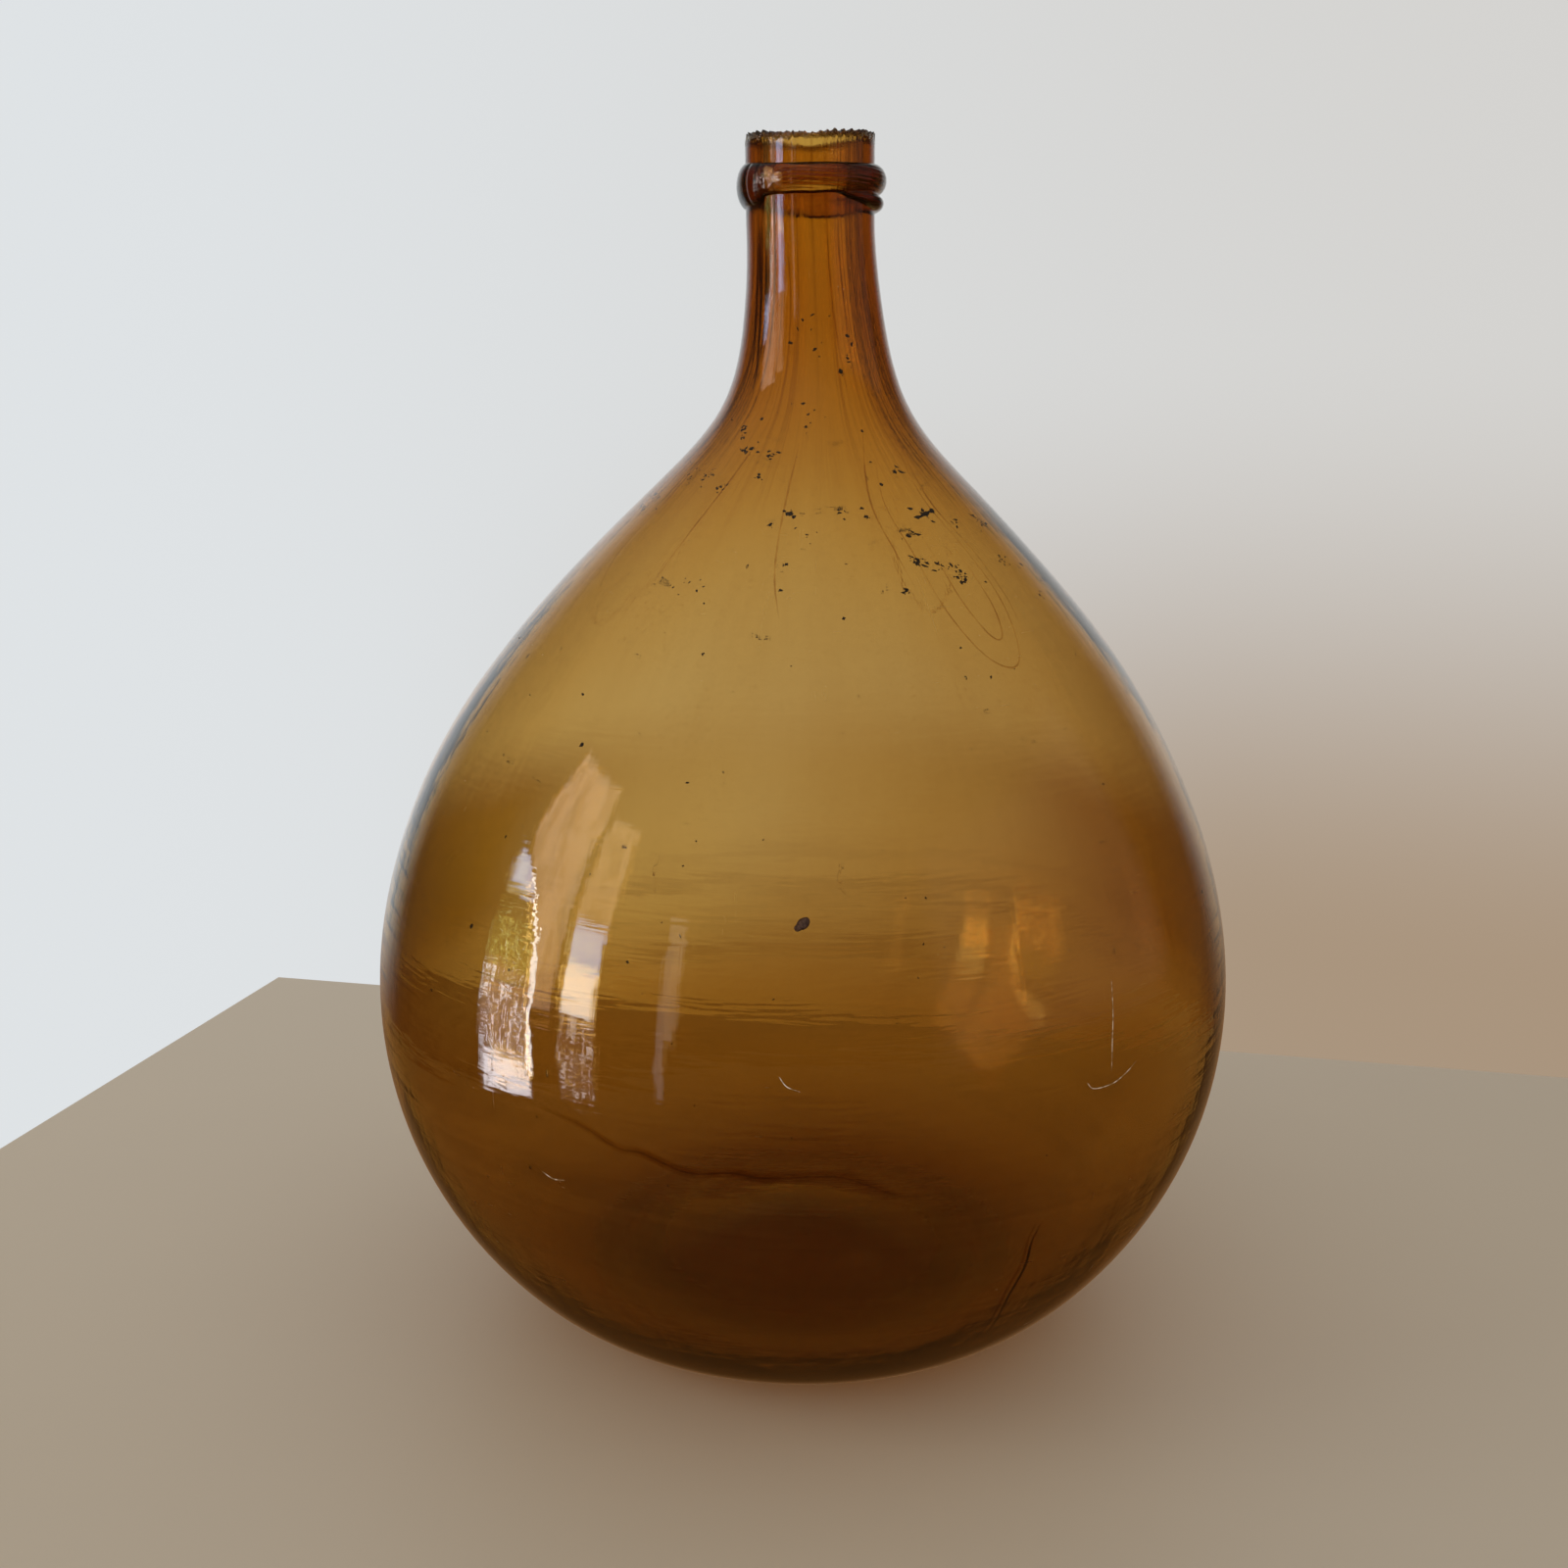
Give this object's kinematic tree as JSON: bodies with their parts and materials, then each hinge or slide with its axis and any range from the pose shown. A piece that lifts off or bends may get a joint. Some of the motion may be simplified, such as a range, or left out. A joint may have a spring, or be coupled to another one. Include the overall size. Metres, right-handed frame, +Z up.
{
  "type": "glass carboy",
  "caption": "Free-blown pear-shaped amber glass carboy with a narrow neck, a wound glass string ring and a rough cracked-off lip.",
  "frame": {"origin": "centre of the resting ring under the base, on the plane that the carboy stands on", "axes": "+Z up along the neck and body; -Y is the front, +X is to the right seen from the front"},
  "size_m": [0.2824, 0.2824, 0.3804],
  "materials": {
    "vessel_glass": "transparent amber, fire-polished",
    "ring_glass": "transparent dark amber, tooled"
  },
  "bodies": {
    "root": {"vessel": "vessel_glass", "string_ring": "ring_glass"}
  },
  "joints": []
}
